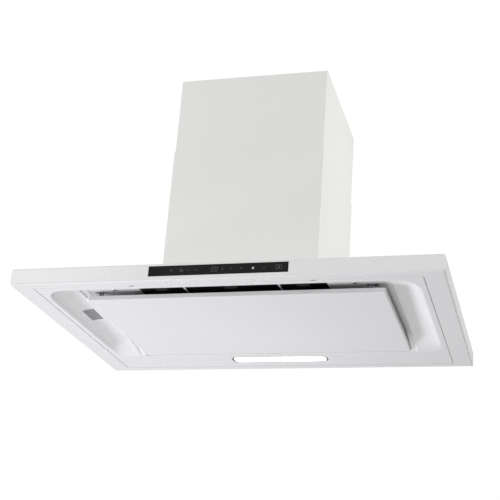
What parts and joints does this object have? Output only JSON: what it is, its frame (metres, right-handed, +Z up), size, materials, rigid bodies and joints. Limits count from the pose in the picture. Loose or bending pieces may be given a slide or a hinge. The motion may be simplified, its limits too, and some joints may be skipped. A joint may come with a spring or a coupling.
{
  "type": "island range hood",
  "caption": "Flat rectangular canopy hood with perimeter-suction panel, touch glass, lamp strip and a telescopic square chimney that hangs from the ceiling.",
  "frame": {"origin": "on the ceiling plane, in the middle of the four ceiling screw holes", "axes": "+X to the right of someone facing the touch glass, -Y towards them, +Z up into the ceiling"},
  "size_m": [0.9, 0.6002, 0.545],
  "materials": {
    "bearing_bronze": "sintered",
    "black_glass": "back-painted glass",
    "black_plastic": "moulded",
    "bright_steel": "ground",
    "circuit_board": "solder mask",
    "dark_aluminium": "black anodised",
    "filter_mesh": "black expanded mesh",
    "grey_plastic": "moulded",
    "label_film": "matt film",
    "lamp_lens": "milky diffuser",
    "motor_iron": "varnished laminations with copper windings",
    "rubber": "moulded",
    "spring_steel": "spring temper, polished",
    "white_paint": "satin powder coat",
    "white_plastic": "moulded",
    "zinc_fastener": "bright zinc",
    "zinc_steel": "zinc plated"
  },
  "bodies": {
    "hood": {"blower_feet": "zinc_steel", "blower_rails": "zinc_steel", "blower_screws": "zinc_fastener", "cable_gland": "black_plastic", "canopy_ring": "zinc_steel", "canopy_shell": "white_paint", "capacitor": "white_plastic", "ceiling_plate": "zinc_steel", "control_carrier": "black_plastic", "control_glass": "black_glass", "duct_spigot": "grey_plastic", "filter_frame": "white_paint", "filter_meshes": "filter_mesh", "flap_axle": "bright_steel", "frame_bolts": "zinc_fastener", "frame_braces": "zinc_steel", "grease_filter_left": "dark_aluminium", "grease_filter_middle": "dark_aluminium", "grease_filter_right": "dark_aluminium", "hinge_brackets": "zinc_steel", "inlet_rings": "grey_plastic", "lamp_board": "circuit_board", "lamp_housing": "white_plastic", "lamp_lens": "lamp_lens", "lower_legs": "zinc_steel", "motor_bearings": "bearing_bronze", "motor_cap": "zinc_steel", "motor_cup": "zinc_steel", "motor_spider": "zinc_steel", "motor_stator": "motor_iron", "outlet_transition": "grey_plastic", "pan_rails": "zinc_steel", "panel_catches": "spring_steel", "rating_label": "label_film", "rear_tie": "zinc_steel", "rubber_mounts": "rubber", "sheet_screws": "zinc_fastener", "terminal_box": "grey_plastic", "terminal_lid": "grey_plastic", "terminal_strip": "white_plastic", "touch_board": "circuit_board", "underside_pan": "white_paint", "upper_chimney": "white_paint", "upper_legs": "zinc_steel", "volute_left": "grey_plastic", "volute_right": "grey_plastic"},
    "suction_panel": {"suction_panel": "white_paint", "panel_lining": "zinc_steel", "panel_ears": "zinc_steel", "hinge_pins": "zinc_fastener", "panel_strikers": "zinc_fastener"},
    "lower_chimney": {"lower_chimney": "white_paint"},
    "rotor": {"impeller": "black_plastic", "motor_shaft": "bright_steel", "motor_rotor": "bright_steel"},
    "flap_front": {"damper_flap_front": "grey_plastic"},
    "flap_rear": {"damper_flap_rear": "grey_plastic"},
    "latch_left": {"filter_latch_left": "black_plastic"},
    "latch_middle": {"filter_latch_middle": "black_plastic"},
    "latch_right": {"filter_latch_right": "black_plastic"}
  },
  "joints": [
    {"name": "panel_swing", "type": "hinge", "parent": "hood", "child": "suction_panel", "pos_m": [0, 0.171, -0.5392], "axis": [1, 0, 0], "range_deg": [0, 85]},
    {"name": "lower_chimney_lift", "type": "slide", "parent": "hood", "child": "lower_chimney", "axis": [0, 0, 1], "range_m": [0, 0.155]},
    {"name": "fan_spin", "type": "hinge", "parent": "hood", "child": "rotor", "pos_m": [0, -0.038, -0.375], "axis": [1, 0, 0], "continuous": true},
    {"name": "flap_front_swing", "type": "hinge", "parent": "hood", "child": "flap_front", "pos_m": [0, 0.0328, -0.214], "axis": [-1, 0, 0], "range_deg": [0, 78], "stiffness_Nm_per_rad": 0.01, "springref_deg": -28.65},
    {"name": "flap_rear_swing", "type": "hinge", "parent": "hood", "child": "flap_rear", "pos_m": [0, 0.0328, -0.214], "axis": [1, 0, 0], "range_deg": [0, 78], "stiffness_Nm_per_rad": 0.01, "springref_deg": -28.65},
    {"name": "filter_latch_left_slide", "type": "slide", "parent": "hood", "child": "latch_left", "axis": [0, 1, 0], "range_m": [0, 0.004], "stiffness_N_per_m": 900, "springref_m": -0.002},
    {"name": "filter_latch_middle_slide", "type": "slide", "parent": "hood", "child": "latch_middle", "axis": [0, 1, 0], "range_m": [0, 0.004], "stiffness_N_per_m": 900, "springref_m": -0.002},
    {"name": "filter_latch_right_slide", "type": "slide", "parent": "hood", "child": "latch_right", "axis": [0, 1, 0], "range_m": [0, 0.004], "stiffness_N_per_m": 900, "springref_m": -0.002}
  ]
}
